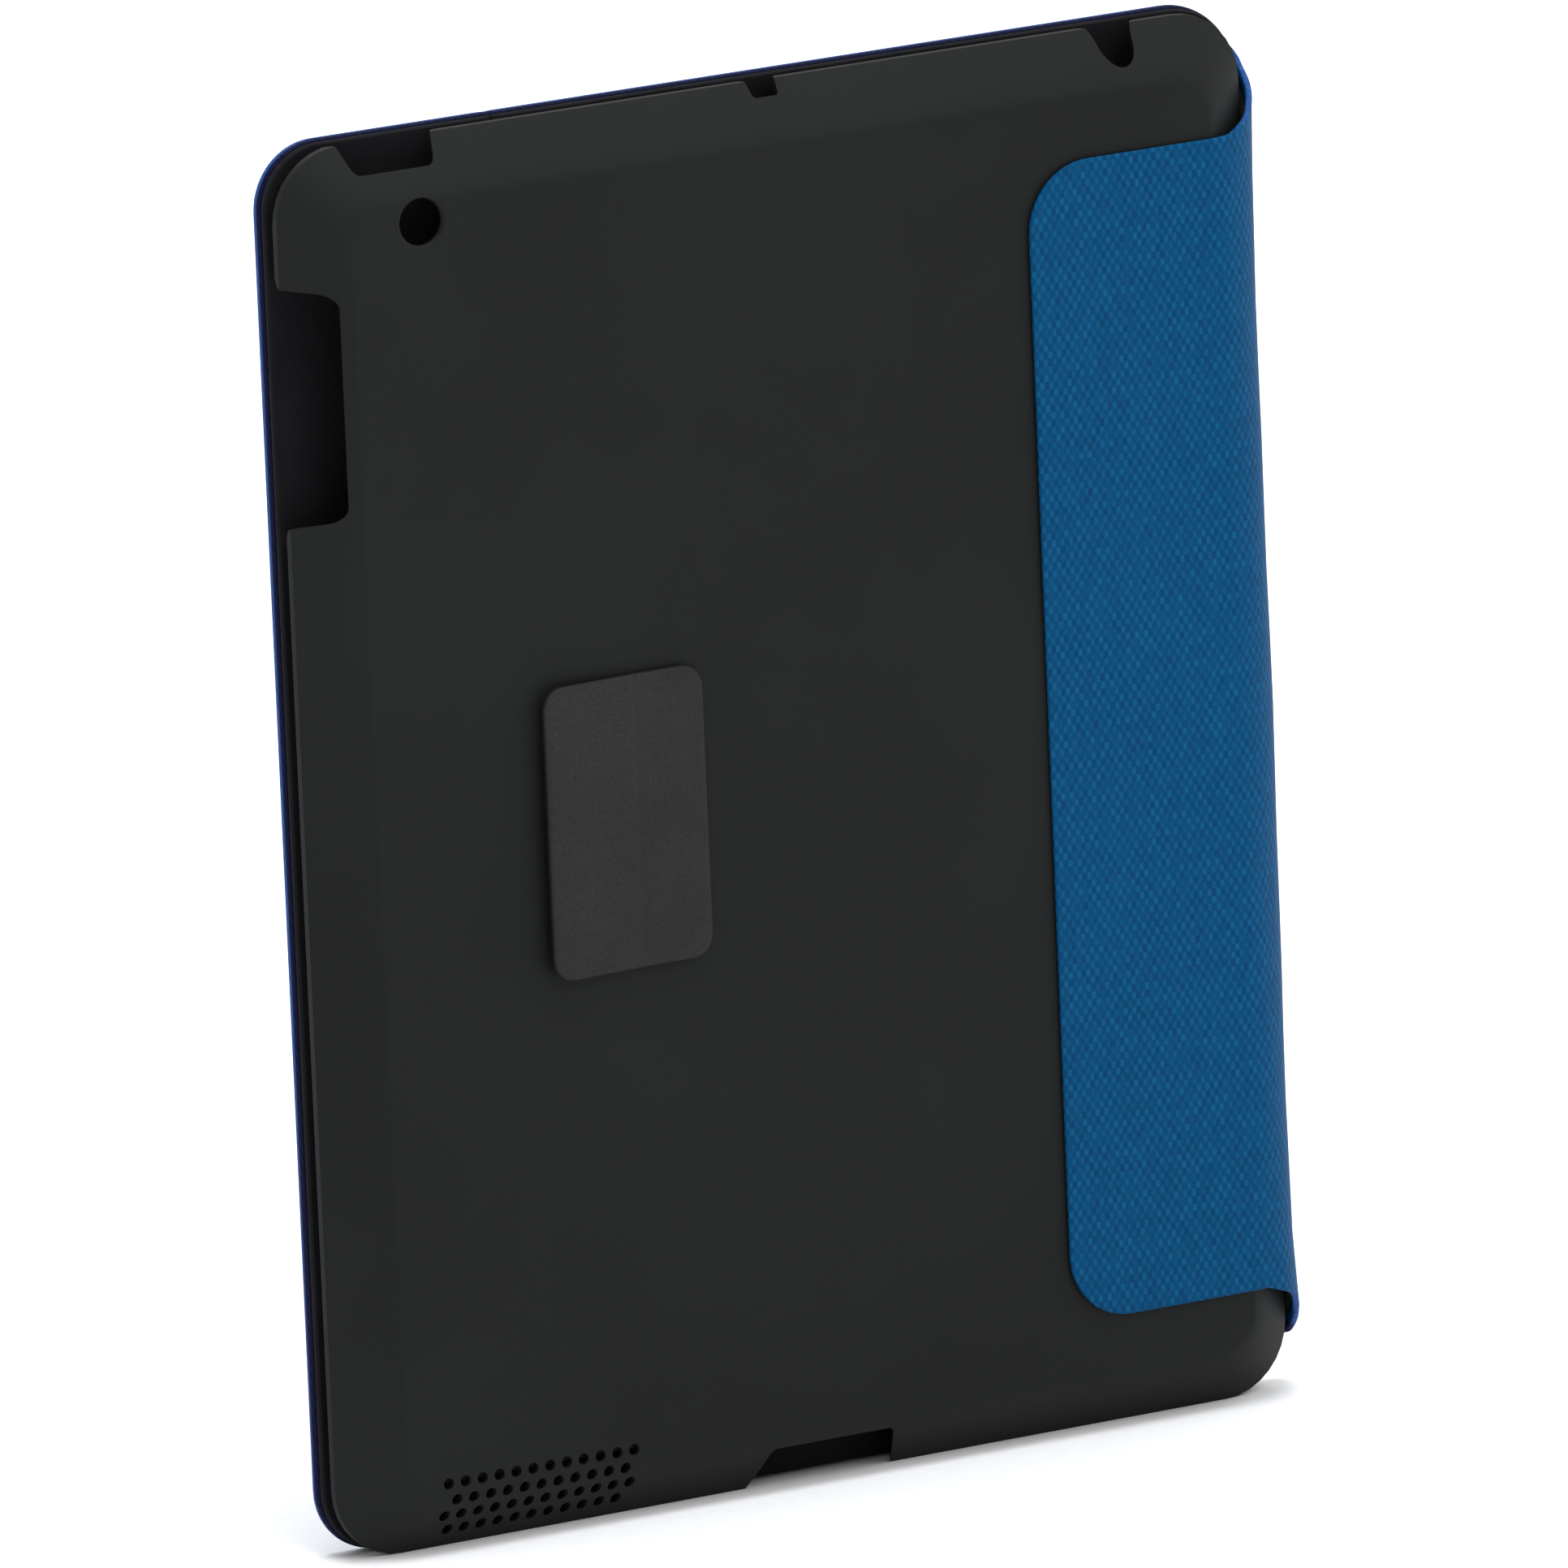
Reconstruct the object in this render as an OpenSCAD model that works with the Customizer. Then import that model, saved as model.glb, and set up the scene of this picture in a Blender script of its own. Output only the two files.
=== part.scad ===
// Folio case for a 9.7 inch tablet: a hard snap-on shell with a canvas cover.
// Upright: +Z runs up the long side, the front cover faces -Y, the shell's back faces +Y,
// the spine is at -X and the cover's free edge at +X.

/* [Shell] */
// Width of the shell, across the short side
shell_w = 188.7; // [187:0.1:192]
// Height of the shell, along the long side
shell_h = 244.2; // [243:0.1:248]
// Depth of the shell from its front rim to its flat back
shell_d = 8.6; // [8:0.1:10]
// Thickness of the shell's back
wall = 1; // [0.9:0.1:1.6]
// Thickness of the shell's front rim
rim_t = 1; // [0.8:0.1:1.4]
// Height of the straight lip before the edge starts to curve
lip = 1.4; // [0.6:0.1:1.6]
// Width of the curved border, from the outline to the flat back
border = 10.6; // [9.5:0.1:12]
// Radius of the outline's corners at the rim
corner_r = 12.5; // [10:0.5:16]
// Radius of the camera hole
camera_r = 4; // [3:0.1:5]
// Radius of each hole in the speaker grille
speaker_r = 1; // [0.6:0.1:1.2]

/* [Cover] */
// Gap between the shell's rim and the closed cover, which the tablet's glass fills
cover_gap = 2.3; // [2:0.1:4]
// How far the cover reaches past the shell at the top and at the free edge
overhang = 0.5; // [0.2:0.1:2]
// Thickness of the coated canvas
canvas_t = 0.8; // [0.6:0.1:1]
// Thickness of the stiff board
board_t = 1.4; // [1:0.1:1.8]
// Thickness of the cover's padded lining
pad_t = 1.6; // [0.8:0.1:2]
// Radius of the cover's corners at the free edge
cover_r = 11.5; // [9:0.5:16]
// Distance of the fold line from the middle of the shell
crease_x = 50; // [40:1:60]

/* [Spine] */
// Height of the canvas strip on the shell's back
strip_h = 203.1; // [190:0.1:210]
// Distance from the middle of the shell to the strip's straight edge
strip_x = 47.1; // [40:0.1:60]
// Radius of the strip's corners
strip_r = 12; // [8:0.5:16]
// How far the loose spine stands out from the middle of the shell
spine_reach = 97.2; // [96.8:0.1:98]
// Radius of the spine where it rolls over the shell's back edge
back_r = 13.2; // [13:0.1:13.6]
// Radius of the spine where it turns into the front cover
front_r = 2.4; // [2:0.1:2.8]
// Thickness of the spine's thin inner lining
liner_t = 0.4; // [0.3:0.1:0.5]

/* [Tab] */
// Height of the stand tab
tab_h = 51; // [40:1:60]
// Width of the tab's glued half
tab_base_w = 13.7; // [10:0.1:18]
// Width of the tab's free flap
tab_flap_w = 18.2; // [14:0.1:22]
// Distance of the tab's crease from the middle of the shell
tab_x = 34.6; // [30:0.1:40]
// Thickness of the tab
tab_t = 1.5; // [1.2:0.1:2]
// Angle at which the flap stands off the shell at rest
tab_lift = 3.5; // [2:0.5:6]

/* [Hidden] */
$fn = 32;
eps = 0.02;
slice_t = 0.1;
clear = 0.15;
film_t = 0.2;
lining_t = 0.3;
tab_skin_t = 0.5;

// Places across the thickness, from the front of the cover to the back of the strip
pad_y = -cover_gap;
board_y = pad_y - pad_t;
canvas_y = board_y - board_t;
front_y = canvas_y - canvas_t;
strip_y = shell_d + film_t;
back_y = strip_y + canvas_t;
tab_y = shell_d + film_t;
flap_y = tab_y + tab_flap_w * sin(tab_lift) + tab_t * cos(tab_lift);

// Outline of the cover
free_x = shell_w / 2 + overhang;
cover_h = shell_h + overhang;
spine_corner_r = 14;
hem_w = 1;
turn = 0.4;

// The middle of the overall box lies on the Z axis
shift = [(spine_reach - free_x) / 2, -(front_y + flap_y) / 2, 0];

// Centres of the two rolls of the spine, seen from above
back_c = [-spine_reach + back_r, back_y - back_r];
front_c = [-spine_reach + front_r, front_y + front_r];
spine_x0 = front_c[0];
riser_x = spine_x0 + 2;

// Notches in the rim: place along the edge, half width at the rim and at the bottom, depth
power = [73.3, 9.7, 7.6, 5.3];
mic = [0, 3.2, 2.4, 3.5];
jack = [-68.8, 5, 3.6, 6.5];
volume = [200.6, 20.8, 19.4, 7.5];
dock = [0, 15, 12, 7.3];
jack_r = 3.6;

camera_at = [70.4, 230.6];
speaker_pitch = 3.3;
speaker_row = 3.03;
speaker_at = [58.05, 3.5];

// Pieces of the magnets: width, length and thickness
magnet = [6, 20, 1.2];
wake = [6, 10, 1.2];
magnet_x = free_x - 9;

module place() {
    translate(shift) children();
}

module rounded_box(x0, x1, z0, z1, r) {
    translate([x0 + r, z0]) square([x1 - x0 - 2 * r, z1 - z0]);
    translate([x0, z0 + r]) square([x1 - x0, z1 - z0 - 2 * r]);
    for (x = [x0 + r, x1 - r], z = [z0 + r, z1 - r]) translate([x, z]) circle(r);
}

// A flat plate lying between two distances from the rim plane
module plate(y0, y1) {
    translate([0, y1, 0]) rotate([90, 0, 0]) linear_extrude(y1 - y0) children();
}

// A prism through the full height, from an outline seen from above
module upright(z0, z1) {
    translate([0, 0, z0]) linear_extrude(z1 - z0) children();
}

// One thin slice of the shell's outline, set in from the rim
module slice(y, inset) {
    w = shell_w / 2 - inset;
    plate(y - slice_t, y)
        rounded_box(-w, w, inset, shell_h - inset, corner_r - 0.55 * inset);
}

// The curved border: a quadratic curve from the lip to the flat back
function border_inset(s) = 2 * s * (1 - s) * 0.81 * border + s * s * border;
function border_y(s) = (1 - s) * (1 - s) * lip + (1 - (1 - s) * (1 - s)) * shell_d;

module shell_body(in, down, front) {
    hull() {
        slice(front + slice_t, in);
        for (s = [0 : 0.125 : 1]) slice(border_y(s) - down, border_inset(s) + in);
    }
}

module notch(n) {
    polygon([
        [n[0] - n[1], -1], [n[0] + n[1], -1], [n[0] + n[1], 0],
        [n[0] + n[2], n[3]], [n[0] - n[2], n[3]], [n[0] - n[1], 0]
    ]);
}

// Rounds a notch's two corners at the rim, and the ones at its bottom
module eased(n, mouth, bottom) {
    offset(r = -mouth) offset(r = mouth + bottom) offset(r = -bottom) {
        children();
        translate([n[0] - n[1] - 20, -20]) square([2 * n[1] + 40, 20 - eps]);
    }
}

module rim_cuts() {
    upright(shell_h - 14, shell_h + 1) {
        eased(power, 2, 1.8) notch(power);
        eased(mic, 1, 0.6) notch(mic);
        eased(jack, 2.2, 0.5) {
            notch([jack[0], jack[1], jack[2], jack[3] - jack_r]);
            translate([jack[0], jack[3] - jack_r]) circle(jack_r);
        }
    }
    upright(-1, 13) eased(dock, 1.6, 1.4) notch(dock);
    translate([shell_w / 2 + 1, 0, 0]) rotate([0, -90, 0])
        linear_extrude(14) eased(volume, 2.2, 2.8) notch(volume);
}

module camera_hole(r) {
    translate([camera_at[0], 0, camera_at[1]]) rotate([-90, 0, 0]) cylinder(h = 20, r = r);
}

module speaker_holes() {
    for (row = [0 : 3]) {
        count = row % 2 == 0 ? 11 : 12;
        for (i = [0 : count - 1])
            translate([
                speaker_at[0] + (i - (count - 1) / 2) * speaker_pitch, 2,
                speaker_at[1] + row * speaker_row
            ])
                rotate([-90, 0, 0]) cylinder(h = 12, r = speaker_r);
    }
}

// Hard plastic shell with a curved border, open at the front
module shell() {
    color([0.15, 0.155, 0.16])
        place() difference() {
            shell_body(0, 0, 0);
            shell_body(rim_t, wall, -1);
            rim_cuts();
            camera_hole(camera_r);
            speaker_holes();
        }
}

// Thin microfibre sheet on the flat inside of the shell
module shell_lining() {
    inset = border + rim_t + 1;
    w = shell_w / 2 - inset;
    color([0.1, 0.1, 0.11])
        place() difference() {
            plate(shell_d - wall - lining_t, shell_d - wall)
                rounded_box(-w, w, inset, shell_h - inset, 6);
            camera_hole(camera_r + 0.6);
        }
}

// Side view of the spine: its ends slope from the cover's corners to the strip
module spine_side() {
    top = shell_h / 2 + strip_h / 2;
    half = [
        [front_y - 1, 239.5], [front_y, 238.6], [-5, 236], [-3, 232.9], [2, 229],
        [5, 226.2], [back_y - canvas_t, top], [back_y + 1, top]
    ];
    bottom = [for (i = [len(half) - 1 : -1 : 0]) [half[i][0], shell_h - half[i][1]]];
    translate([-110, 0, 0]) rotate([90, 0, 90]) linear_extrude(40)
        polygon(concat(half, bottom));
}

// A sector of a ring, seen from above, between two angles
module ring(c, r_out, r_in, a0, a1) {
    translate(c) intersection() {
        difference() {
            circle(r_out, $fn = 96);
            circle(r_in, $fn = 96);
        }
        polygon([
            [0, 0], 2 * r_out * [cos(a0), sin(a0)],
            2.5 * r_out * [cos((a0 + a1) / 2), sin((a0 + a1) / 2)],
            2 * r_out * [cos(a1), sin(a1)]
        ]);
    }
}

// Gap left at each spine hinge, as an angle
back_gap = 0.8;
front_gap = 5;

// Canvas strip glued to the back, with the part of the roll that stays with it
module strip_canvas() {
    z0 = (shell_h - strip_h) / 2;
    color([0.03, 0.27, 0.43])
        place() {
            intersection() {
                plate(strip_y, back_y)
                    rounded_box(back_c[0] - 40, -strip_x, z0, z0 + strip_h, strip_r);
                translate([back_c[0], 0, 0]) cube([60, 20, shell_h]);
            }
            intersection() {
                upright(0, shell_h)
                    ring(back_c, back_r, back_r - canvas_t, 90, 135 - back_gap);
                spine_side();
            }
        }
}

// Bonding film between the strip and the shell
module strip_film() {
    z0 = (shell_h - strip_h) / 2 + 1;
    color([0.7, 0.7, 0.65])
        place() plate(shell_d, strip_y)
            rounded_box(-shell_w / 2 + border + 0.4, -strip_x - 1, z0, z0 + strip_h - 2, strip_r - 1);
}

// Dark lining behind the part of the roll that stays with the strip
module strip_liner() {
    color([0.08, 0.08, 0.09])
        place() intersection() {
            upright(0, shell_h)
                ring(back_c, back_r - canvas_t, back_r - canvas_t - liner_t, 112, 135 - back_gap);
            spine_side();
        }
}

module spine_layer(r_out, r_in, fr_out, fr_in) {
    place() intersection() {
        upright(0, shell_h) {
            ring(back_c, r_out, r_in, 135 + back_gap, 180);
            ring(front_c, fr_out, fr_in, 180, 225 - front_gap);
            translate([back_c[0] - r_out, front_c[1] - eps])
                square([r_out - r_in, back_c[1] - front_c[1] + 2 * eps]);
        }
        spine_side();
    }
}

// Side of the spine, free to swing at both of its edges
module spine_canvas() {
    color([0.03, 0.27, 0.43])
        spine_layer(back_r, back_r - canvas_t, front_r, front_r - canvas_t);
}

module spine_liner() {
    color([0.08, 0.08, 0.09])
        spine_layer(
            back_r - canvas_t, back_r - canvas_t - liner_t,
            front_r - canvas_t, front_r - canvas_t - liner_t
        );
}

// Outline of the whole front cover, set in by a margin
module cover_outline(inset) {
    difference() {
        rounded_box(-spine_reach + inset, free_x - inset, inset, cover_h - inset, cover_r - inset);
        for (z = [inset, cover_h - inset])
            translate([-spine_reach + inset, z])
                square(2 * (spine_corner_r - inset), center = true);
    }
    for (z = [spine_corner_r, cover_h - spine_corner_r])
        translate([-spine_reach + spine_corner_r, z]) circle(spine_corner_r - inset);
}

module cover_part(y0, y1, x0, x1, inset) {
    intersection() {
        plate(y0, y1) cover_outline(inset);
        translate([x0, -20, -1]) cube([x1 - x0, 40, cover_h + 2]);
    }
}

// Canvas tray: a flat face with its edges turned over the board
module canvas_tray(x0, x1) {
    difference() {
        union() {
            cover_part(front_y, board_y, x0, x1, turn);
            cover_part(front_y + turn, board_y, x0, x1, 0);
        }
        cover_part(canvas_y, 0, x0 - 1, x1 + 1, hem_w);
    }
}

module front_roll(r_out, r_in) {
    intersection() {
        upright(0, shell_h) ring(front_c, r_out, r_in, 225 + front_gap, 270);
        spine_side();
    }
}

// Large panel of the front cover
module cover_canvas() {
    color([0.03, 0.27, 0.43])
        place() {
            difference() {
                canvas_tray(spine_x0, crease_x - clear);
                translate([spine_x0 - 1, canvas_y, -1]) cube([3.4, 10, cover_h + 2]);
            }
            front_roll(front_r, front_r - canvas_t);
        }
}

module cover_board() {
    color([0.45, 0.4, 0.33])
        place() cover_part(canvas_y, board_y, spine_x0 + 3, crease_x - 1.5, hem_w + clear);
}

// Padded lining of the large panel
module cover_pad() {
    color([0.08, 0.08, 0.09])
        place() cover_part(board_y, pad_y, riser_x, crease_x - clear, 0.4);
}

// Thin lining that runs from the roll up to the padded one
module cover_liner() {
    color([0.08, 0.08, 0.09])
        place() {
            cover_part(canvas_y, board_y, riser_x, riser_x + liner_t, 0.4);
            intersection() {
                upright(0, shell_h)
                    translate([spine_x0 - eps, canvas_y]) square([riser_x - spine_x0 + 2 * eps, liner_t]);
                spine_side();
            }
            front_roll(front_r - canvas_t, front_r - canvas_t - liner_t);
        }
}

// Narrow panel at the free edge, which folds to prop the case up
module edge_canvas() {
    color([0.03, 0.27, 0.43])
        place() canvas_tray(crease_x + clear, free_x + 1);
}

module magnet_bars(size, gap) {
    for (z = [48, 104, 140, 196])
        translate([magnet_x - gap, canvas_y + (board_t - size[2]) / 2 - gap, z - size[1] / 2 - gap])
            cube([size[0] + 2 * gap, size[2] + 2 * gap, size[1] + 2 * gap]);
}

module wake_bar(size, gap) {
    translate([magnet_x - gap, canvas_y + (board_t - size[2]) / 2 - gap, 122 - size[1] / 2 - gap])
        cube([size[0] + 2 * gap, size[2] + 2 * gap, size[1] + 2 * gap]);
}

module edge_board() {
    color([0.45, 0.4, 0.33])
        place() difference() {
            cover_part(canvas_y, board_y, crease_x + 1.5, free_x, hem_w + clear);
            magnet_bars(magnet, 0.3);
            wake_bar(wake, 0.3);
        }
}

module edge_pad() {
    color([0.08, 0.08, 0.09])
        place() cover_part(board_y, pad_y, crease_x + clear, free_x, 0.4);
}

// Four magnets that hold the cover shut
module closure_magnets() {
    color([0.7, 0.7, 0.72]) place() magnet_bars(magnet, 0);
}

// Small magnet that the tablet senses when the cover closes
module wake_magnet() {
    color([0.7, 0.7, 0.72]) place() wake_bar(wake, 0);
}

module tab_outline(w, r) {
    z0 = (shell_h - tab_h) / 2;
    intersection() {
        rounded_box(-abs(w), abs(w), z0, z0 + tab_h, r);
        translate([w > 0 ? clear : w - clear, z0]) square([abs(w), tab_h]);
    }
}

// Glued half of the stand tab
module tab_base() {
    color([0.21, 0.205, 0.2])
        place() translate([tab_x, 0, 0]) plate(tab_y, tab_y + tab_t) tab_outline(-tab_base_w, 4);
}

module tab_film() {
    z0 = (shell_h - tab_h) / 2 + 1;
    color([0.7, 0.7, 0.65])
        place() translate([tab_x - tab_base_w + 1, 0, 0])
            plate(shell_d, tab_y) rounded_box(0, tab_base_w - 2, z0, z0 + tab_h - 2, 3);
}

module flap_place() {
    place() translate([tab_x, tab_y, 0]) rotate([0, 0, tab_lift]) children();
}

// Free half of the tab, under which the cover's edge tucks
module tab_flap() {
    color([0.21, 0.205, 0.2])
        flap_place() plate(tab_skin_t, tab_t) tab_outline(tab_flap_w, 4);
}

module tab_flap_skin() {
    color([0.08, 0.08, 0.09])
        flap_place() plate(0, tab_skin_t) tab_outline(tab_flap_w, 4);
}

shell();
shell_lining();
strip_canvas();
strip_film();
strip_liner();
spine_canvas();
spine_liner();
cover_canvas();
cover_board();
cover_pad();
cover_liner();
edge_canvas();
edge_board();
edge_pad();
closure_magnets();
wake_magnet();
tab_base();
tab_film();
tab_flap();
tab_flap_skin();
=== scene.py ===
"""Visual model of a folio tablet case, built round its CAD frame.

Lengths are in mm until a mesh is made. The cloth is laid out flat first: u runs across the case,
round the spine, v runs up the case, and w is the height over the cloth's outer face.
"""
import math

import bmesh
import bpy
import numpy as np
from mathutils import Matrix, Vector


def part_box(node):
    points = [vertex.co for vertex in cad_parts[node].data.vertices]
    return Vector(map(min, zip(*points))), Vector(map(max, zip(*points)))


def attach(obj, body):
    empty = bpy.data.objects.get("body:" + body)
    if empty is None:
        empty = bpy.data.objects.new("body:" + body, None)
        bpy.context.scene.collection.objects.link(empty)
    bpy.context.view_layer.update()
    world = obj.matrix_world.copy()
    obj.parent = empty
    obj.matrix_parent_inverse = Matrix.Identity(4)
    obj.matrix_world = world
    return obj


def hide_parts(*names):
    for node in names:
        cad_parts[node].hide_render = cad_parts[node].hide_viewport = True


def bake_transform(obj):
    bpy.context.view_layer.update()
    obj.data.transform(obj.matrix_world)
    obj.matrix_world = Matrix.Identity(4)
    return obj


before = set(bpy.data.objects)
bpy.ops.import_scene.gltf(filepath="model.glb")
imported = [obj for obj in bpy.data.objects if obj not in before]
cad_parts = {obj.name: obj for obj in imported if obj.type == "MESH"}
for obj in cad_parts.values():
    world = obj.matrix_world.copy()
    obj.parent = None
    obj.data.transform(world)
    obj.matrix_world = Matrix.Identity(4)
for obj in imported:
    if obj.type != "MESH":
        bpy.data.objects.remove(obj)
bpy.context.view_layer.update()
MM = 0.001


def box_mm(name):
    """A CAD node's lowest and highest corners, in mm."""
    low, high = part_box(name)
    return np.array(low) / MM, np.array(high) / MM


# Places taken from the frame
SHELL_LOW, SHELL_HIGH = box_mm("shell")
STRIP_HIGH = box_mm("strip_canvas")[1]
SPINE_X = box_mm("spine_canvas")[0][0]
COVER_LOW, COVER_HIGH = box_mm("cover_canvas")
PAD_HIGH = box_mm("cover_pad")[1]
EDGE_HIGH = box_mm("edge_canvas")[1]
MID_X = (SHELL_LOW[0] + SHELL_HIGH[0]) / 2
BACK_Y = SHELL_HIGH[1]
STRIP_Y, FRONT_Y = STRIP_HIGH[1], COVER_LOW[1]
FREE_X, TOP_Z = EDGE_HIGH[0], EDGE_HIGH[2]
BOARD_W = COVER_HIGH[1] - COVER_LOW[1]
PAD_W = PAD_HIGH[1] - COVER_LOW[1]

# The spine's two rolls, the cover's fold line and the canvas
BACK_R, FRONT_R = 13.2, 2.4
BACK_C = np.array([SPINE_X + BACK_R, STRIP_Y - BACK_R])
FRONT_C = np.array([SPINE_X + FRONT_R, FRONT_Y + FRONT_R])
CREASE_X = MID_X + 50.0
CANVAS_T = 0.8

# Distances along the unrolled canvas, from the start of the back roll
U_FREE_STRIP = -(STRIP_HIGH[0] - BACK_C[0])
U_BACK_END = BACK_R * math.pi / 2
U_FRONT_START = U_BACK_END + BACK_C[1] - FRONT_C[1]
U_FRONT_END = U_FRONT_START + FRONT_R * math.pi / 2
U_SEAM = (U_BACK_END + U_FRONT_START) / 2
U_CREASE = U_FRONT_END + CREASE_X - FRONT_C[0]
U_EDGE_SEAM = U_CREASE - 4.0
U_FREE = U_FRONT_END + FREE_X - FRONT_C[0]


def smooth(x, low, high):
    """0 below low, 1 above high, and eased between them."""
    t = np.clip((np.asarray(x, float) - low) / (high - low), 0, 1)
    return t * t * (3 - 2 * t)


# ---------------------------------------------------------------- meshes

def make_object(name, points, faces, material, cloth=None, rim=None, sharp=40.0):
    """A mesh object from points in mm. The cloth's flat places and its rim are kept for shading."""
    mesh = bpy.data.meshes.new(name)
    mesh.from_pydata([tuple(p * MM) for p in np.asarray(points)], [], faces)
    if cloth is not None:
        layer = mesh.attributes.new("cloth", "FLOAT_VECTOR", "POINT")
        layer.data.foreach_set("vector", (np.asarray(cloth) * MM).ravel())
    if rim is not None:
        layer = mesh.attributes.new("rim", "FLOAT", "POINT")
        layer.data.foreach_set("value", np.asarray(rim, float))
    bm = bmesh.new()
    bm.from_mesh(mesh)
    bmesh.ops.recalc_face_normals(bm, faces=bm.faces)
    bm.to_mesh(mesh)
    bm.free()
    mesh.polygons.foreach_set("use_smooth", [True] * len(mesh.polygons))
    mesh.set_sharp_from_angle(angle=math.radians(sharp))
    mesh.materials.append(material)
    obj = bpy.data.objects.new(name, mesh)
    bpy.context.scene.collection.objects.link(obj)
    return obj


def arc(cx, cy, r, a0, a1, steps=14):
    """Points on a circle from angle a0 to a1, in degrees."""
    angles = np.radians(np.linspace(a0, a1, steps + 1))
    return [(cx + r * math.cos(a), cy + r * math.sin(a)) for a in angles]


def resample(points, step):
    """A closed outline with its points about step apart."""
    points = np.array(points + [points[0]], float)
    gap = np.linalg.norm(np.diff(points, axis=0), axis=1)
    points, gap = np.delete(points, np.where(gap < 1e-9)[0], axis=0), gap[gap > 1e-9]
    dist = np.concatenate([[0], np.cumsum(gap)])
    count = int(round(dist[-1] / step))
    at = np.arange(count) * dist[-1] / count
    return np.column_stack([np.interp(at, dist, points[:, k]) for k in (0, 1)])


def outward(points):
    """Outward normals of a closed polygon that runs anticlockwise."""
    along = np.roll(points, -1, axis=0) - np.roll(points, 1, axis=0)
    normal = np.column_stack([along[:, 1], -along[:, 0]])
    return normal / np.linalg.norm(normal, axis=1)[:, None]


def even_cuts(low, high, step):
    """Places for cuts from low to high, about step apart."""
    return [float(x) for x in np.linspace(low, high, max(2, int(round((high - low) / step)) + 1))]


RING_STEP = 0.8
RIM_INSET = 1.2     # the flat faces stop this far inside the outline, where the rim begins


class Cells:
    """A closed outline cut into cells by straight lines, with the outline's normals kept."""

    def __init__(self, outline, u_cuts, v_cuts, step=RING_STEP):
        ring = resample(outline, step)
        self.normals = outward(ring)
        self.ring = ring - RIM_INSET * self.normals
        bm = bmesh.new()
        bm.faces.new([bm.verts.new((u, v, 0)) for u, v in self.ring])
        cuts = [((u, 0, 0), (1, 0, 0)) for u in u_cuts] + [((0, v, 0), (0, 1, 0)) for v in v_cuts]
        for place, normal in cuts:
            bmesh.ops.bisect_plane(bm, geom=bm.verts[:] + bm.edges[:] + bm.faces[:], dist=1e-4,
                                   plane_co=place, plane_no=normal)
        bm.verts.index_update()
        self.points = np.array([v.co[:2] for v in bm.verts])
        self.faces = [[v.index for v in f.verts] for f in bm.faces]
        bm.free()

    def normal_at(self, point):
        """The outline's normal nearest to a point, and the point's distance from the outline."""
        a, b = self.ring, np.roll(self.ring, -1, axis=0)
        ab = b - a
        t = np.clip(((point - a) * ab).sum(1) / (ab * ab).sum(1), 0, 1)
        gap = np.linalg.norm(a + ab * t[:, None] - point, axis=1)
        i = int(gap.argmin())
        n = self.normals[i] * (1 - t[i]) + self.normals[(i + 1) % len(a)] * t[i]
        return n / np.linalg.norm(n), gap[i]


def border_of(faces):
    """The directed edges that only one face has."""
    edges = {}
    for face in faces:
        for a, b in zip(face, face[1:] + face[:1]):
            key = (min(a, b), max(a, b))
            edges[key] = None if key in edges else (a, b)
    return [e for e in edges.values() if e]


def sheet_object(name, cells, span, rows, front, back, place, material):
    """A closed sheet between front(u) and back(u), of the cells whose middle lies in span.

    rows(u) gives the rim's profile as (outset, w), from the front to the back's own outset. Where
    span cuts the sheet, the cut is closed by a flat wall."""
    faces = [f for f in cells.faces if span[0] < np.mean(cells.points[f, 0]) < span[1]]
    used = sorted({i for f in faces for i in f})
    local = {i: k for k, i in enumerate(used)}
    flat = cells.points[used]
    faces = [[local[i] for i in f] for f in faces]
    border = border_of(faces)
    on_rim = {}
    for i in {i for e in border for i in e}:
        normal, gap = cells.normal_at(flat[i])
        if gap < 2e-3:
            on_rim[i] = normal

    points = [(u, v, front(u)) for u, v in flat]
    cloth = [(u, v, 0.0) for u, v in flat]
    rim = [0.0] * len(flat)
    back_flat = flat.copy()
    chain = {}
    for i, normal in on_rim.items():
        u, v = flat[i]
        profile = rows(u)
        chain[i] = [i]
        walked, last = 0.0, (0.0, 0.0)
        for outset, w in profile[:-1]:
            walked += math.hypot(outset - last[0], w - last[1])
            last = (outset, w)
            chain[i].append(len(points))
            points.append((u + normal[0] * outset, v + normal[1] * outset, w + front(u)))
            cloth.append((u + normal[0] * walked, v + normal[1] * walked, w))
            rim.append(float(np.clip(outset, 0, RIM_INSET) / RIM_INSET))
        back_flat[i] = flat[i] + normal * profile[-1][0]
    start = len(points)
    for u, v in back_flat:
        points.append((u, v, back(u)))
        cloth.append((u, v, -1.0))
        rim.append(0.0)
    for i in chain:
        chain[i].append(start + i)

    walls = []
    for a, b in border:
        on_cut = (abs(flat[a, 0] - flat[b, 0]) < 1e-6
                  and min(abs(flat[a, 0] - s) for s in span) < 1e-3)
        if a in chain and b in chain and not on_cut:
            for k in range(len(chain[a]) - 1):
                walls.append([chain[a][k], chain[a][k + 1], chain[b][k + 1], chain[b][k]])
        else:
            walls.append([a, start + a, start + b, b])
            walls.extend(chain[i] for i in (a, b) if i in chain)
    every = faces + [[start + i for i in reversed(f)] for f in faces] + walls
    return make_object(name, place(np.array(points)), every, material, cloth, rim)


# ---------------------------------------------------------------- the canvas, unrolled and rolled

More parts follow.
